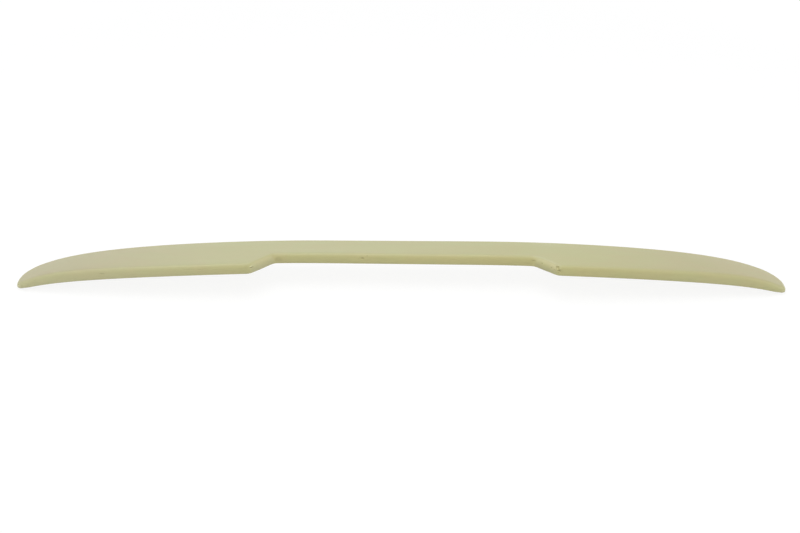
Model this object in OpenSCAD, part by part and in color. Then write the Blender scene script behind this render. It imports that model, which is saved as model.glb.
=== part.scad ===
// Roof spoiler, one moulded blade glued along the rear edge of a car roof.
// +X is the car's right, +Y its front, +Z up. The origin is the middle of the
// flat bonding land on the centre line, so the roof lies under Z = 0.

/* [Blade outline] */
// Overall width from tip to tip
span = 1150; // [900:5:1400]
// Front to back depth of the blade outside the notch
wing_chord = 103; // [80:1:130]
// Width over which the leading edge runs straight
le_straight = 500; // [300:10:800]
// How squarely the leading edge turns down to the tips
le_fullness = 4.3; // [2:0.1:6]
// How far forward the trailing edge has moved at the tips
te_sweep = 25; // [0:1:40]
// Radius of the rear corner of each tip, seen from above
tip_corner = 10.5; // [8:0.5:20]
// Depth of the narrow flat at the very end of each tip
tip_flat = 2; // [1:0.5:5]

/* [Brake light notch] */
// Width of the notch along its front edge
notch_w = 390; // [300:2:460]
// Depth of the notch
notch_depth = 36; // [20:1:45]
// Angle between the notch's slanted sides and its front edge
notch_slant = 50; // [30:1:60]
// Reach of the blend on either side of an inner corner
inner_blend = 6; // [3:0.5:12]
// Reach of the blend on either side of an outer corner
outer_blend = 6; // [3:0.5:12]

/* [Crown] */
// Width of the middle that runs level
level_w = 236; // [160:4:360]
// Drop of each tip that comes from the even crown
crown_drop = 33.5; // [10:0.5:60]
// Further drop of each tip where the ends curl down
tip_curl = 10.5; // [0:0.5:25]

/* [Section] */
// Height of the rear face over the uncut wings
te_thick = 17; // [12:0.5:24]
// Height of the blade at the rear of each tip
te_thick_tip = 10; // [8:0.5:18]
// Height of the leading edge in the middle
le_thick = 4; // [2.5:0.5:8]
// Height of the leading edge close to the tips
le_thick_tip = 9; // [4:0.5:12]
// Rise of the underside from the bonding land to the trailing edge
kick_up = 5; // [0:0.5:8]
// Height of the round that turns the rear face into the top
upper_rise = 10; // [3:0.5:12]
// Depth of that round, seen from above
upper_reach = 6; // [3:0.5:10]
// Radius along the bottom of the rear face
lower_round = 2.5; // [1:0.5:4]

/* [Bonding underside] */
// Width of each of the two grooves for adhesive tape
tape_w = 14; // [8:1:16]
// Depth of the grooves
tape_depth = 1.2; // [0.4:0.2:2]
// Width of the slope along each side of a groove
tape_slope = 1.5; // [1:0.5:3]
// Width of the rim between a groove and the edge of the land
tape_rim = 7; // [5:1:10]
// Distance from each tip to where the grooves have run out
tape_end = 60; // [50:5:120]
// Length over which the grooves run out
tape_fade = 30; // [15:5:60]

/* [Hidden] */

half = span / 2;
straight = le_straight / 2;
level = level_w / 2;
notch_in = notch_w / 2;
notch_out = notch_in + notch_depth / tan(notch_slant);

// The land's middle is Y = 0, its front is the leading edge, its rear the notch
land = wing_chord - notch_depth;
front = land / 2;
rear = front - wing_chord;
apex_y = rear + te_sweep + tip_corner;
land_rear = rear + notch_depth;

// Exponents of the crown, the curl, the thinning of the tips, the top's ramp and
// the leading edge's way into the tips
crown_power = 1.93;
curl_power = 12;
thin_power = 12;
ramp_power = 1.2;
tip_power = 2.4;

function clamp(v, lo, hi) = min(hi, max(lo, v));
function ease(t) = let (c = clamp(t, 0, 1)) c * c * (3 - 2 * c);

// 0 over the level middle, 1 at the tip
function outward(x) = clamp((abs(x) - level) / (half - level), 0, 1);
function crown(x) =
    -crown_drop * pow(outward(x), crown_power) - tip_curl * pow(outward(x), curl_power);

// 0 up to a corner, then a slope of 1 after it, with a parabola between
function bend(d, w) = d <= -w ? 0 : d >= w ? d : pow(d + w, 2) / (4 * w);

// Trailing edge from above: sweep, then the notch
function sweep(x) =
    rear + te_sweep * pow(clamp((abs(x) - notch_out) / (half - notch_out), 0, 1), 2);
function te(x) =
    let (
        a = abs(x),
        cut = bend(notch_out - a, outer_blend) - bend(notch_in - a, inner_blend),
        past = clamp(a - half + tip_corner, 0, tip_corner))
    sweep(x) + tan(notch_slant) * cut
        + tip_corner - sqrt(max(0, pow(tip_corner, 2) - pow(past, 2)));

// Leading edge from above: straight, then a full curve down to the tip
function le(x) =
    let (
        t = clamp((abs(x) - straight) / (half - straight), 0, 1),
        end = apex_y + tip_flat)
    end + (front - end) * pow(1 - pow(t, le_fullness), 1 / tip_power);

// Inward directions of both edges, by differences over a short step
step = span / 20000;
function unit(v) = v / norm(v);
function te_in(x) = unit([te(x - step) - te(x + step), 2 * step]);
function le_in(x) = unit([le(x + step) - le(x - step), -2 * step]);

// Underside without its grooves
function under(x, y) = crown(x) + kick_up * ease((land_rear - y) / notch_depth);

// Height of the blade along its leading edge
function nose_h(x) =
    le_thick + (le_thick_tip - le_thick) * pow(outward(x), curl_power);

// Top: a ramp from the leading edge that eases out level at the trailing edge
function over(x, y) =
    let (
        low = nose_h(x),
        wing = te_thick + kick_up,
        high = wing + (te_thick_tip - wing) * pow(outward(x), thin_power),
        f = clamp((le(x) - y) / max(le(x) - sweep(x), step), 0, 1))
    crown(x) + low + (high - low) * (1 - pow(1 - f, ramp_power));

// Bonding land from its rear edge, which is the notch or a line level with it
function land_from(x) = max(te(x), land_rear);

// Depth of a groove that lies between d = 0 and d = tape_w
function groove(d) = tape_depth * ease(d / tape_slope) * ease((tape_w - d) / tape_slope);
function grooves(x, y) =
    ease((half - tape_end - abs(x)) / tape_fade)
        * max(groove(y - land_from(x) - tape_rim), groove(le(x) - tape_rim - y));

// Stations along the blade, closer together at the notch corners and the tips
function fan(n, a, b) = [for (i = [0:n - 1]) a + (b - a) * i / n];
side = concat(
    fan(6, 0, level),
    fan(3, level, notch_in - inner_blend),
    fan(4, notch_in - inner_blend, notch_in + inner_blend),
    fan(3, notch_in + inner_blend, notch_out - outer_blend),
    fan(4, notch_out - outer_blend, notch_out + outer_blend),
    fan(20, notch_out + outer_blend, half - 3 * tip_corner),
    fan(6, half - 3 * tip_corner, half - tip_corner),
    [for (i = [0:8]) half - tip_corner * (1 - sin(i * 11.25))]);
stations = concat([for (i = [len(side) - 1:-1:1]) -side[i]], side);

// One closed ring of points round the blade at a station
upper_turns = [0, 18, 36, 54, 72, 90];
lower_turns = [0, 45, 90];
nose_turns = [30, 60, 90, 120, 150];
top_rows = 12;
base_rows = 13;

// Gaps between the rows of the underside: overhang, groove, land, groove, rim
function total(v, n) = n < 0 ? 0 : v[n] + total(v, n - 1);
function base_gaps(x, heel_y, toe_y) =
    let (
        flat = tape_w - 2 * tape_slope,
        over_gap = (land_from(x) + tape_rim - heel_y) / 4,
        mid_gap = (le(x) - land_from(x) - 2 * (tape_rim + tape_w)) / 2,
        last = toe_y - le(x) + tape_rim,
        gaps = [over_gap, over_gap, over_gap, over_gap, tape_slope, flat, tape_slope,
            mid_gap, mid_gap, tape_slope, flat, tape_slope, last])
    [for (g = gaps) max(g, tape_slope / 4)];

// Share of the underside's width that row i has reached, even once the grooves end
function base_at(x, gaps, i) =
    let (k = ease((half - tape_end + tape_fade - abs(x)) / tape_fade))
    k * total(gaps, i) / total(gaps, base_rows - 1) + (1 - k) * (i + 1) / base_rows;

// The tightest outer corner sets how far the rear face's rounds can reach in
corner_room = 0.9 * min(tip_corner, 2 * outer_blend / tan(notch_slant));

function ring(x) =
    let (
        back = [x, te(x)],
        nose = [x, le(x)],
        bi = te_in(x),
        ni = le_in(x),
        ru = min(upper_reach, corner_room),
        rl = min(lower_round, corner_room),
        rn = nose_h(x) / 2,
        crest = back + ru * bi,
        heel = back + rl * bi,
        toe = nose + rn * ni,
        z_crest = over(crest[0], crest[1]),
        z_heel = under(heel[0], heel[1]),
        hu = min(upper_rise, 0.62 * (z_crest - z_heel)),
        hl = min(lower_round, 0.3 * (z_crest - z_heel)),
        z_tip = over(toe[0], toe[1]),
        z_toe = under(toe[0], toe[1]),
        mid = (z_tip + z_toe) / 2,
        high = (z_tip - z_toe) / 2,
        gaps = base_gaps(x, heel[1], toe[1]))
    concat(
        [for (i = [0:top_rows - 1])
            let (p = toe + (crest - toe) * i / top_rows) [p[0], p[1], over(p[0], p[1])]],
        [for (a = upper_turns)
            let (p = back + ru * (1 - sin(a)) * bi) [p[0], p[1], z_crest - hu * (1 - cos(a))]],
        [for (a = lower_turns)
            let (p = back + rl * (1 - cos(a)) * bi) [p[0], p[1], z_heel + hl * (1 - sin(a))]],
        [for (i = [0:base_rows - 1])
            let (p = heel + (toe - heel) * base_at(x, gaps, i))
            [p[0], p[1], under(p[0], p[1]) + grooves(p[0], p[1])]],
        [for (a = nose_turns)
            let (p = nose + rn * (1 - sin(a)) * ni) [p[0], p[1], mid - high * cos(a)]]);

// Skin between neighbouring rings, and a strip of triangles across each tip
module loft(rings) {
    n = len(rings[0]);
    m = len(rings);
    points = [for (r = rings) for (p = r) p];
    skin = [for (i = [0:m - 2]) for (j = [0:n - 1])
        let (a = i * n + j, b = i * n + (j + 1) % n) each [[a, b + n, b], [a, a + n, b + n]]];
    heel = top_rows + len(upper_turns) + len(lower_turns) - 1;
    toe = heel + base_rows;
    rear_side = [for (i = [top_rows:heel - 1]) i];
    front_side = [for (i = [n - 1:-1:toe]) i];
    na = len(rear_side) - 1;
    nb = len(front_side) - 1;
    end = concat(
        [for (i = [0:top_rows - 1]) [n - 1, i, i + 1]],
        [for (i = [heel:toe - 1]) [heel - 1, i, i + 1]],
        [for (k = [0:na - 1])
            [rear_side[k], rear_side[k + 1], front_side[min(k, nb)]]],
        [for (k = [0:nb - 1])
            [rear_side[min(k + 1, na)], front_side[k + 1], front_side[k]]]);
    far = [for (f = end) [for (i = [2:-1:0]) f[i] + (m - 1) * n]];
    polyhedron(points, concat(skin, end, far), convexity = 10);
}

module roof_spoiler() color([0.78, 0.77, 0.62]) loft([for (x = stations) ring(x)]);

roof_spoiler();
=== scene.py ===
import math
import bpy
import numpy
from mathutils import Matrix, Vector


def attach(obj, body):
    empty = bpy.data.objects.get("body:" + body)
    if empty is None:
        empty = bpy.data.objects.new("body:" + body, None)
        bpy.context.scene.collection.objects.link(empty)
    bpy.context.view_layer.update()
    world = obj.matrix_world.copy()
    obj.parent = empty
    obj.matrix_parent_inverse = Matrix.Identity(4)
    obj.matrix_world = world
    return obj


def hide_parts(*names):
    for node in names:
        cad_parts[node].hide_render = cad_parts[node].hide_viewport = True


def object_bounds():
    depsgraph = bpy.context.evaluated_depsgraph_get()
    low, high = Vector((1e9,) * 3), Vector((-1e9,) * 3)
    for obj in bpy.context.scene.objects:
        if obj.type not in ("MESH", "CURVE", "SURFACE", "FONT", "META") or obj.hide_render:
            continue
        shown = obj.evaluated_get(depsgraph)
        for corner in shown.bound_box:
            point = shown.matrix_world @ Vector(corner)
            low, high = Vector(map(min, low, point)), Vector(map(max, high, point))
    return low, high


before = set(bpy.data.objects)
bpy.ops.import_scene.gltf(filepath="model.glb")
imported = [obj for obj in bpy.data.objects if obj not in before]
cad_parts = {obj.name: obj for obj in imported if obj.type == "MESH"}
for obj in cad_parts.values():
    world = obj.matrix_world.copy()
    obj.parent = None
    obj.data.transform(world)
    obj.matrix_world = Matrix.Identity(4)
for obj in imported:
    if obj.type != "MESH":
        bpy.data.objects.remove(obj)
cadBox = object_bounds()
print("frame loaded")


class Wire:  # one socket of a node tree, usable in plain arithmetic
    def __init__(self, tree, socket=None):
        self.tree, self.socket = tree, socket

    # any node: its settings first, then the values or wires of its sockets
    def node(self, kind, settings=None, inputs=None, output=0):
        made = self.tree.nodes.new(kind)
        for name, value in (settings or {}).items():
            setattr(made, name, value)
        for key, value in (inputs or {}).items():
            if isinstance(value, Wire):
                self.tree.links.new(value.socket, made.inputs[key])
            else:
                made.inputs[key].default_value = value
        return Wire(self.tree, made.outputs[output]) if len(made.outputs) else None

    def math(self, operation, *values):
        return self.node("ShaderNodeMath", {"operation": operation}, dict(enumerate(values)))

    def vector(self, operation, *values, output=0):
        settings = {"operation": operation}
        return self.node("ShaderNodeVectorMath", settings, dict(enumerate(values)), output)

    def __add__(self, other): return self.math("ADD", self, other)
    def __radd__(self, other): return self.math("ADD", other, self)
    def __sub__(self, other): return self.math("SUBTRACT", self, other)
    def __rsub__(self, other): return self.math("SUBTRACT", other, self)
    def __mul__(self, other): return self.math("MULTIPLY", self, other)
    def __rmul__(self, other): return self.math("MULTIPLY", other, self)
    def __abs__(self): return self.math("ABSOLUTE", self)

    def between(self, low, high):  # 0 at low, 1 at high, smooth in between
        return self.node("ShaderNodeMapRange", {"interpolation_type": "SMOOTHSTEP"},
                         {"Value": self, "From Min": low, "From Max": high})

    def blend(self, first, second):  # first colour at 0, second at 1
        return self.node("ShaderNodeMix", {"data_type": "RGBA"}, {0: self, 6: first, 7: second}, 2)

    def axis(self, name):
        return self.node("ShaderNodeSeparateXYZ", {}, {0: self}, name)

    def length(self):
        return self.vector("LENGTH", self, output=1)

    def tinted(self, colour):
        return self.vector("MULTIPLY", self, colour)

    def scaled(self, factor):
        settings = {"operation": "SCALE"}
        return self.node("ShaderNodeVectorMath", settings, {0: self, "Scale": factor})

    def noise(self, size, detail, stretch=(1, 1, 1)):  # size is that of one patch, in metres
        place = self.vector("MULTIPLY", self, tuple(1 / (size * s) for s in stretch))
        return self.node("ShaderNodeTexNoise", {},
                         {"Vector": place, "Scale": 1.0, "Detail": detail})

    def cloud(self, **patch):  # the same noise, up and down from 0
        return self.noise(**patch) - 0.5


def newMaterial(name):
    material = bpy.data.materials.new(name)
    material.use_nodes = True
    material.node_tree.nodes.clear()
    return material, Wire(material.node_tree)


def makeActive(obj):
    bpy.ops.object.select_all(action="DESELECT")
    obj.select_set(True)
    bpy.context.view_layer.objects.active = obj


# Air bubbles, nicks and stains of this casting, in metres, with painted shade in the pushed-in
# pits and at the left inner corner, and a painted highlight on the raised lips. "size" is the half
# width along X, Y and Z. "dark" is how far the dark colour of dirt and painted shade replaces the
# foam's, or below 0 how far the lip's painted highlight colour does. "push" moves the surface,
# which follows as far around as "reach", and "cuts" makes the mesh finer there first.
marks = {
    "cornerNick": {
        "place": (-0.2231, -0.0667, 0.0130), "size": (0.0052, 0.0044, 0.0010), "dark": 0.80,
        "push": (-0.0005, 0.0009, 0.0), "reach": 0.0011, "cuts": 0},
    "cornerLipHighlight": {
        "place": (-0.2251, -0.0666, 0.0148), "size": (0.0038, 0.0034, 0.0009), "dark": -0.36,
        "push": (0.0001, -0.0002, 0.0003), "reach": 0.0011, "cuts": 0},
    "wingScratch": {
        "place": (-0.4448, -0.0590, -0.0032), "size": (0.0062, 0.0034, 0.0010), "dark": 0.28,
        "push": (0.0, 0.0004, 0.0), "reach": 0.0009, "cuts": 3},
    "crestBubble": {
        "place": (-0.0612, -0.0317, 0.0099), "size": (0.0032, 0.0020, 0.0019), "dark": 0.50,
        "push": (0.0, 0.0010, -0.0003), "reach": 0.0018, "cuts": 4},
    "crestSpeck": {
        "place": (-0.0538, -0.0301, 0.0135), "size": (0.0018, 0.0015, 0.0013), "dark": 0.34},
    "crestCloud": {
        "place": (-0.0341, -0.0318, 0.0101), "size": (0.0130, 0.0040, 0.0022), "dark": 0.10},
    "frontBurr": {
        "place": (-0.1430, 0.0290, 0.0046), "size": (0.0024, 0.0022, 0.0022), "dark": 0.22},
    "leftInnerShade": {
        "place": (-0.1850, -0.0309, 0.0068), "size": (0.0070, 0.0050, 0.0055), "dark": 0.15},
    "rightInnerStain": {
        "place": (0.1938, -0.0359, 0.0100), "size": (0.0048, 0.0036, 0.0012), "dark": 0.42},
    "slantBubble": {
        "place": (0.2052, -0.0448, 0.0105), "size": (0.0019, 0.0016, 0.0013), "dark": 0.62,
        "push": (0.0004, 0.0005, -0.0001), "reach": 0.0012, "cuts": 2},
    "slantSpeck": {
        "place": (0.2181, -0.0602, 0.0127), "size": (0.0017, 0.0015, 0.0013), "dark": 0.50},
    "lowSpeck": {
        "place": (0.2222, -0.0653, 0.0116), "size": (0.0024, 0.0022, 0.0012), "dark": 0.34},
    "cornerBubble": {
        "place": (0.2263, -0.0662, 0.0162), "size": (0.0031, 0.0026, 0.0022), "dark": 0.90,
        "push": (0.0006, 0.0012, -0.0008), "reach": 0.0016, "cuts": 1},
    "cornerBubbleTail": {
        "place": (0.2249, -0.0647, 0.0170), "size": (0.0018, 0.0014, 0.0012), "dark": 0.40},
    "cornerHole": {
        "place": (0.2290, -0.0688, 0.0118), "size": (0.0034, 0.0024, 0.0019), "dark": 0.76,
        "push": (0.0004, 0.0012, -0.0003), "reach": 0.0016, "cuts": 1},
    "holeRimHighlight": {
        "place": (0.2300, -0.0680, 0.0155), "size": (0.0030, 0.0022, 0.0011), "dark": -0.08},
}

# A pair is where a change starts and where it is complete. Where its name ends in Across,
# it is in metres along X, in Out in metres from the middle to either side, and in Up or
# Sideways a share of the direction in which the surface looks: 1 is straight up, 0 level.
castFoam = {
    # the top colours are a painted sheen over the rear face's colour, and the top's darker tips
    # are painted shade
    "sheenTopColour": (0.485, 0.474, 0.250, 1), "shadedTopTipColour": (0.457, 0.420, 0.236, 1),
    "rearColour": (0.455, 0.426, 0.189, 1), "rearTipColour": (0.474, 0.451, 0.228, 1),
    "topTipOut": (0.22, 0.54), "rearTipOut": (0.16, 0.50), "rearToTopUp": (0.58, 1.0),
    # painted light on the notch's slanted sides: a bluer tint for light from the sides, painted
    # shade at their lower edge and a painted highlight at their crest
    "slantSideLightTint": (1.0, 1.01, 1.12), "slantSideways": (0.25, 0.60), "slantEndOut": (0.26, 0.32),
    "leftEdgeShade": 0.95, "rightEdgeShade": 0.85, "edgeShadeAcross": (-0.1, 0.1),
    "crest": 1.11, "shadeToHighlightUp": (-0.3, 0.6),
    # a painted highlight along the crest over the right slanted side
    "rightCrestHighlightTint": (1.08, 1.085, 1.20),
    "highlightFromAcross": (0.188, 0.200), "highlightToAcross": (0.222, 0.236),
    "highlightFromUp": (0.1, 0.8), "highlightToUp": (0.94, 0.99),
    # painted shade on the underside and the lower rounded edge
    "undersideShadeTone": 0.86, "undersideShadeUp": (-0.15, -0.65),
    "leftTint": (1.0, 1.0, 1.06, 1), "rightTint": (1.0, 0.992, 0.95, 1),
    "tintAcross": (-0.6, 0.6),
    "wideCloud": {"size": 0.11, "detail": 3.0, "stretch": (1.6, 1, 1)}, "wideTone": 0.04,
    "fineCloud": {"size": 0.009, "detail": 2.0}, "fineTone": 0.03,
    "drift": {"size": 0.022, "detail": 1.0, "stretch": (2.2, 1, 1)}, "driftEdge": (0.38, 0.62),
    "greenTint": (0.994, 1.008, 1.0, 1), "pinkTint": (1.006, 0.992, 1.0, 1),
    # the marks' dark colour is dirt together with painted shade in the pits; the lip colour is a
    # painted highlight
    "dirtAndShadeColour": (0.20, 0.165, 0.060, 1), "lipHighlightColour": (1.0, 1.0, 0.6, 1),
    "markEdge": (0.35, 1.0),  # in half widths of the mark
    "roughness": 0.48, "specular": 0.55,
    "smearCloud": {"size": 0.035, "detail": 3.0, "stretch": (3, 1, 1)}, "smear": 0.10,
    "grain": {"size": 0.0011, "detail": 2.0}, "grainDepth": 0.00006, "grainStrength": 0.5,
}


def castFoamMaterial():
    material, wire = newMaterial("cast polyurethane")
    place = wire.node("ShaderNodeTexCoord", output="Object")
    facing = wire.node("ShaderNodeAttribute", {"attribute_name": "facing"}, output="Vector")
    across, up = place.axis("X"), facing.axis("Z")
    outward, sideways = abs(across), abs(facing.axis("X"))

    # painted sheen and shade: the top is paler and bluer than the upright rear face, a painted
    # sheen, and darker towards its tips, a painted shade; the rear face turns paler and bluer
    # towards the tips
    rear = outward.between(*castFoam["rearTipOut"])
    rear = rear.blend(castFoam["rearColour"], castFoam["rearTipColour"])
    top = outward.between(*castFoam["topTipOut"])
    top = top.blend(castFoam["sheenTopColour"], castFoam["shadedTopTipColour"])

    # painted light on the slanted sides of the notch: a bluer, paler tint for light from the
    # sides, painted shade darkening them towards their lower edge, more on the right, and a
    # painted highlight towards their crest
    slanted = sideways.between(*castFoam["slantSideways"])
    slanted = slanted * (1 - outward.between(*castFoam["slantEndOut"]))
    toRight = across.between(*castFoam["edgeShadeAcross"])
    edge = castFoam["leftEdgeShade"] + toRight * (castFoam["rightEdgeShade"] - castFoam["leftEdgeShade"])
    tone = edge + up.between(*castFoam["shadeToHighlightUp"]) * (castFoam["crest"] - edge)
    rear = slanted.blend(rear, rear.tinted(castFoam["slantSideLightTint"]).scaled(tone))
    colour = up.between(*castFoam["rearToTopUp"]).blend(rear, top)

    # a painted highlight, paler and bluer, along the crest over the right slanted side
    rightCrestHighlight = across.between(*castFoam["highlightFromAcross"])
    rightCrestHighlight = rightCrestHighlight * (1 - across.between(*castFoam["highlightToAcross"]))
    rightCrestHighlight = rightCrestHighlight * up.between(*castFoam["highlightFromUp"])
    rightCrestHighlight = rightCrestHighlight * (1 - up.between(*castFoam["highlightToUp"]))
    colour = rightCrestHighlight.blend(colour, colour.tinted(castFoam["rightCrestHighlightTint"]))

    # painted shade: the underside and the lower rounded edge are darker; and the left end is bluer
    # than the right one
    shadedUnderside = up.between(*castFoam["undersideShadeUp"])
    colour = colour.scaled(1 - shadedUnderside * (1 - castFoam["undersideShadeTone"]))
    ends = across.between(*castFoam["tintAcross"])
    colour = colour.tinted(ends.blend(castFoam["leftTint"], castFoam["rightTint"]))

    # cloudy tone and a slight drift between green and pink
    wide, fine = place.cloud(**castFoam["wideCloud"]), place.cloud(**castFoam["fineCloud"])
    colour = colour.scaled(1 + wide * castFoam["wideTone"] + fine * castFoam["fineTone"])
    drift = place.noise(**castFoam["drift"]).between(*castFoam["driftEdge"])
    colour = colour.tinted(drift.blend(castFoam["greenTint"], castFoam["pinkTint"]))

    # each mark paints dirt, with painted shade in a pushed-in pit, or below 0 a painted highlight
    # on a lip
    for mark in marks.values():
        offset = place.vector("SUBTRACT", place, mark["place"])
        far = offset.tinted(tuple(1 / s for s in mark["size"])).length()
        depth = (1 - far.between(*castFoam["markEdge"])) * abs(mark["dark"])
        colour = depth.blend(colour, castFoam["dirtAndShadeColour" if mark["dark"] > 0 else "lipHighlightColour"])

    smear = place.cloud(**castFoam["smearCloud"])
    bump = wire.node("ShaderNodeBump", {}, {
        "Strength": castFoam["grainStrength"],
        "Distance": castFoam["grainDepth"],
        "Height": place.noise(**castFoam["grain"]),
    })
    shader = wire.node("ShaderNodeBsdfPrincipled", {}, {
        "Base Color": colour,
        "Roughness": castFoam["roughness"] + smear * castFoam["smear"],
        "Specular IOR Level": castFoam["specular"],
        "Normal": bump,
    })
    wire.node("ShaderNodeOutputMaterial", {}, {"Surface": shader})
    return material


blade = {
    "mergeWithin": 0.00002,  # metres
    "quadBend": 60, "quadSkew": 180,  # degrees up to which two triangles become one quad
    "levels": 2,
    "blurRounds": 2,
    # where each smoothing of the tips starts, in metres from the middle, how often it runs,
    # and how far it goes each time
    "tipEnds": ((0.556, 2), (0.560, 2), (0.564, 4), (0.568, 8)), "tipSmoothing": 0.5,
    # the edge along the notch: how wide and from how far back it moves, about what point it
    # turns and by how many degrees, how far it slides, and how far around it the rest follows
    "notchHalfWidth": 0.197, "notchFront": -0.0265,
    "notchPivot": (0.03, -0.0335, 0.0), "notchTurn": 0.6,
    "notchSlide": (0.0016, 0.0, 0.0), "notchReach": 0.025,
    # how far the finer mesh at a mark goes, and how much of the mark is pushed in full, in
    # half widths of the mark
    "fineRoom": 2.5, "pushRoom": 0.5,
}


def copyCad(name):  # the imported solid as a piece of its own, its facets joined
    makeActive(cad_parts["roof_spoiler"])
    bpy.ops.object.duplicate()
    piece = bpy.context.object
    piece.name = name
    piece.parent = None
    piece.matrix_world = Matrix.Identity(4)
    for key in [k for k in piece.keys() if k.startswith("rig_")]:  # the copy is no CAD node
        del piece[key]
    bpy.ops.object.mode_set(mode="EDIT")
    bpy.ops.mesh.select_all(action="SELECT")
    bpy.ops.mesh.remove_doubles(threshold=blade["mergeWithin"])
    bpy.ops.mesh.tris_convert_to_quads(face_threshold=math.radians(blade["quadBend"]),
                                       shape_threshold=math.radians(blade["quadSkew"]))
    bpy.ops.object.mode_set(mode="OBJECT")
    return piece


def selectOnly(piece, chosen):  # in edit mode, by a True or False for each vertex
    bpy.ops.object.mode_set(mode="EDIT")
    bpy.ops.mesh.select_all(action="DESELECT")
    bpy.ops.object.mode_set(mode="OBJECT")
    for vertex, wanted in zip(piece.data.vertices, chosen):
        vertex.select = wanted
    bpy.ops.object.mode_set(mode="EDIT")


def softly(reach):  # lets the surface follow what moves, less and less up to this far away
    return {"use_proportional_edit": True, "proportional_size": reach,
            "proportional_edit_falloff": "SMOOTH", "use_proportional_connected": True}


def easeTips(piece):  # smooths the crease out of each tip's end, then gives back its length
    base = blade["tipEnds"][0][0]
    for side in (-1, 1):
        across = [vertex.co.x * side for vertex in piece.data.vertices]
        for start, rounds in blade["tipEnds"]:
            selectOnly(piece, [x > start for x in across])
            bpy.ops.mesh.vertices_smooth(factor=blade["tipSmoothing"], repeat=rounds)
            bpy.ops.object.mode_set(mode="OBJECT")

        shrunk = max(vertex.co.x * side for vertex in piece.data.vertices)
        longer = (max(across) - base) / (shrunk - base)
        selectOnly(piece, [x > base for x in across])
        bpy.ops.transform.resize(value=(longer, 1, 1), center_override=(side * base, 0, 0))
        bpy.ops.object.mode_set(mode="OBJECT")


def skewNotch(piece):  # this casting's notch runs a little askew
    selectOnly(piece, [abs(vertex.co.x) < blade["notchHalfWidth"]
                       and vertex.co.y < blade["notchFront"] for vertex in piece.data.vertices])
    around = softly(blade["notchReach"])
    bpy.ops.transform.rotate(value=math.radians(blade["notchTurn"]), orient_axis="Z",
                             center_override=blade["notchPivot"], **around)
    bpy.ops.transform.translate(value=blade["notchSlide"], **around)
    bpy.ops.object.mode_set(mode="OBJECT")


def keepFacing(piece):  # stores which way the surface looks, blurred a little, for the foam
    mesh = piece.data
    normals = numpy.empty(len(mesh.vertices) * 3, "f")
    ends = numpy.empty(len(mesh.edges) * 2, "i")
    mesh.vertices.foreach_get("normal", normals)
    mesh.edges.foreach_get("vertices", ends)
    normals, ends = normals.reshape(-1, 3), ends.reshape(-1, 2)
    joined = numpy.bincount(ends.ravel(), minlength=len(normals))[:, None] + 1
    for _ in range(blade["blurRounds"]):
        total = normals.copy()
        numpy.add.at(total, ends[:, 0], normals[ends[:, 1]])
        numpy.add.at(total, ends[:, 1], normals[ends[:, 0]])
        normals = total / joined
    facing = mesh.attributes.new("facing", "FLOAT_VECTOR", "POINT")
    facing.data.foreach_set("vector", normals.ravel())


def roundFacets(piece):
    bpy.ops.object.modifier_add(type="SUBSURF")
    rounding = piece.modifiers[-1]
    rounding.levels = blade["levels"]
    rounding.render_levels = blade["levels"]
    bpy.ops.object.modifier_apply(modifier=rounding.name)


def pressMark(piece, mark):
    middle, size = Vector(mark["place"]), Vector(mark["size"])

    def within(point, room):
        gap = Vector(point) - middle
        return sum((gap[i] / (size[i] * room)) ** 2 for i in range(3)) < 1

    if mark["cuts"]:
        for face in piece.data.polygons:
            face.select = within(face.center, blade["fineRoom"])
        bpy.ops.object.mode_set(mode="EDIT")
        bpy.ops.mesh.subdivide(number_cuts=mark["cuts"])
        bpy.ops.object.mode_set(mode="OBJECT")
    selectOnly(piece, [within(vertex.co, blade["pushRoom"]) for vertex in piece.data.vertices])
    bpy.ops.mesh.select_mode(type="VERT")
    bpy.ops.transform.translate(value=mark["push"], **softly(mark["reach"]))
    bpy.ops.mesh.select_all(action="DESELECT")
    bpy.ops.mesh.select_mode(type="FACE")
    bpy.ops.object.mode_set(mode="OBJECT")


def makeBlade():
    piece = copyCad("spoilerBlade")
    easeTips(piece)
    skewNotch(piece)
    bpy.ops.object.shade_smooth()
    keepFacing(piece)
    roundFacets(piece)

    bpy.ops.object.mode_set(mode="EDIT")
    bpy.ops.mesh.select_all(action="DESELECT")
    bpy.ops.mesh.select_mode(type="FACE")
    bpy.ops.object.mode_set(mode="OBJECT")
    for mark in marks.values():
        if "push" in mark:
            pressMark(piece, mark)

    piece.data.materials.clear()
    piece.data.materials.append(castFoamMaterial())
    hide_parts("roof_spoiler")
    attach(piece, "root")
    print("blade:", len(piece.data.polygons), "faces")


makeBlade()

studio = {
    "floorSize": 12.0,
    "bounceColour": (0.8, 0.8, 0.8, 1),  # what the floor throws back at the object
    "seenColour": (0.13, 0.13, 0.13, 1),  # what the camera sees of its shading
    "glow": 0.89,  # and the white that is added to it
    "fade": (1.0, 2.2),  # metres from the middle over which the floor turns wholly white
    "skyLight": 0.50,
}


def whiteRays(wire):  # 1 for rays that have to meet white: seen, mirrored or through glass
    camera = wire.node("ShaderNodeLightPath", output="Is Camera Ray")
    mirrored = wire.node("ShaderNodeLightPath", output="Is Glossy Ray")
    through = wire.node("ShaderNodeLightPath", output="Is Transmission Ray")
    return (camera + mirrored + through).between(0, 1)


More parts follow.
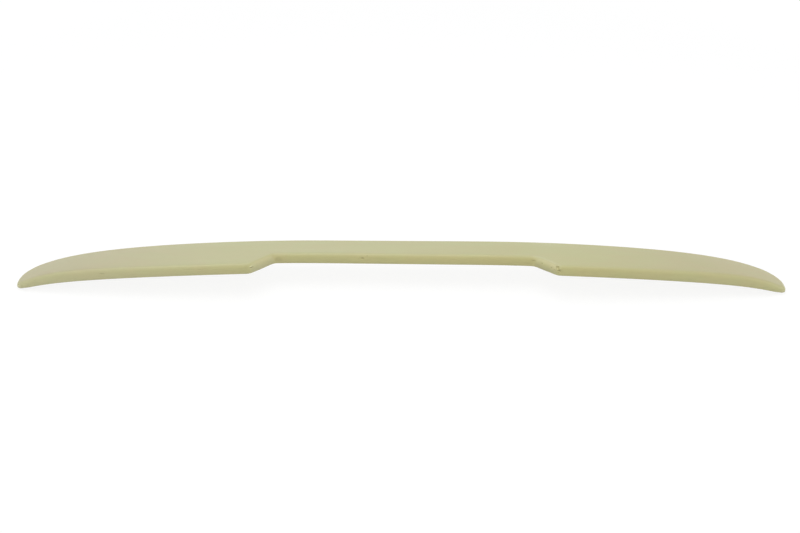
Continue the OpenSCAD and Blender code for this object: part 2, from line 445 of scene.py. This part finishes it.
def makeFloor():
    bpy.ops.object.select_all(action="DESELECT")
    bpy.ops.mesh.primitive_plane_add(size=studio["floorSize"], location=(0, 0, cadBox[0][2]))
    floor = bpy.context.object
    floor.name = "studioFloor"
    bpy.ops.object.transform_apply(location=True)

    material, wire = newMaterial("studio floor")
    seen = wire.node("ShaderNodeLightPath", output="Is Camera Ray")
    colour = seen.blend(studio["bounceColour"], studio["seenColour"])
    shade = wire.node("ShaderNodeBsdfDiffuse", {}, {"Color": colour})
    away = wire.node("ShaderNodeTexCoord", output="Object").length().between(*studio["fade"])
    strength = whiteRays(wire) * (studio["glow"] + away * (1 - studio["glow"]))
    glow = wire.node("ShaderNodeEmission", {}, {"Strength": strength})
    both = wire.node("ShaderNodeAddShader", {}, {0: shade, 1: glow})
    wire.node("ShaderNodeOutputMaterial", {}, {"Surface": both})
    floor.data.materials.append(material)


def makeWorld():
    world = bpy.data.worlds.new("studio")
    bpy.context.scene.world = world
    world.use_nodes = True
    world.node_tree.nodes.clear()
    wire = Wire(world.node_tree)
    white = whiteRays(wire)
    strength = white + (1 - white) * studio["skyLight"]
    sky = wire.node("ShaderNodeBackground", {}, {"Color": (1, 1, 1, 1), "Strength": strength})
    wire.node("ShaderNodeOutputWorld", {}, {"Surface": sky})


softLamps = {
    "front": {"place": (-0.25, -1.25, 1.75), "size": 1.9, "power": 8.9, "colour": (1, 1, 1)},
    "overhead": {"place": (-0.25, -0.35, 2.1), "size": 1.9, "power": 18.3, "colour": (1, 1, 1)},
    "left": {"place": (-3.0, -0.35, 1.0), "size": 1.6, "power": 10.9, "colour": (0.94, 1.0, 1.12)},
    "right": {"place": (3.0, -0.35, 1.0), "size": 1.6, "power": 17.2, "colour": (0.97, 1.0, 1.06)},
}


def makeLamps():
    for name, lamp in softLamps.items():
        bpy.ops.object.light_add(type="AREA", location=lamp["place"])
        light = bpy.context.object
        light.name = name + "Lamp"
        light.data.shape = "DISK"
        light.data.size = lamp["size"]
        light.data.energy = lamp["power"]
        light.data.color = lamp["colour"]
        light.rotation_euler = (-Vector(lamp["place"])).to_track_quat("-Z", "Y").to_euler()


# Where the photo was taken from, fitted to the blade's outline
view = {
    "azimuth": -1.5748, "elevation": 30.0, "roll": 1.1343,  # degrees
    "distance": 3.2, "target": (-0.004016, 0.0, -0.021988), "farEnd": 50,  # metres
    "lens": 95.567, "sensor": 36,  # millimetres
}


def makeCamera():
    turn, tilt, roll = (math.radians(view[k]) for k in ("azimuth", "elevation", "roll"))
    level = Vector((math.sin(turn), -math.cos(turn), 0))
    back = level * math.cos(tilt) + Vector((0, 0, math.sin(tilt)))
    right = (-back).cross(Vector((0, 0, 1))).normalized()
    up = right.cross(-back)
    across = right * math.cos(roll) + up * math.sin(roll)
    upright = up * math.cos(roll) - right * math.sin(roll)
    bpy.ops.object.camera_add(location=Vector(view["target"]) + back * view["distance"])
    camera = bpy.context.object
    camera.rotation_euler = Matrix((across, upright, back)).transposed().to_euler()
    camera.data.lens = view["lens"]
    camera.data.sensor_width = view["sensor"]
    camera.data.clip_end = view["farEnd"]
    bpy.context.scene.camera = camera


makeFloor()
makeWorld()
makeLamps()
makeCamera()
bpy.context.scene.view_settings.view_transform = "Standard"
print("studio set")
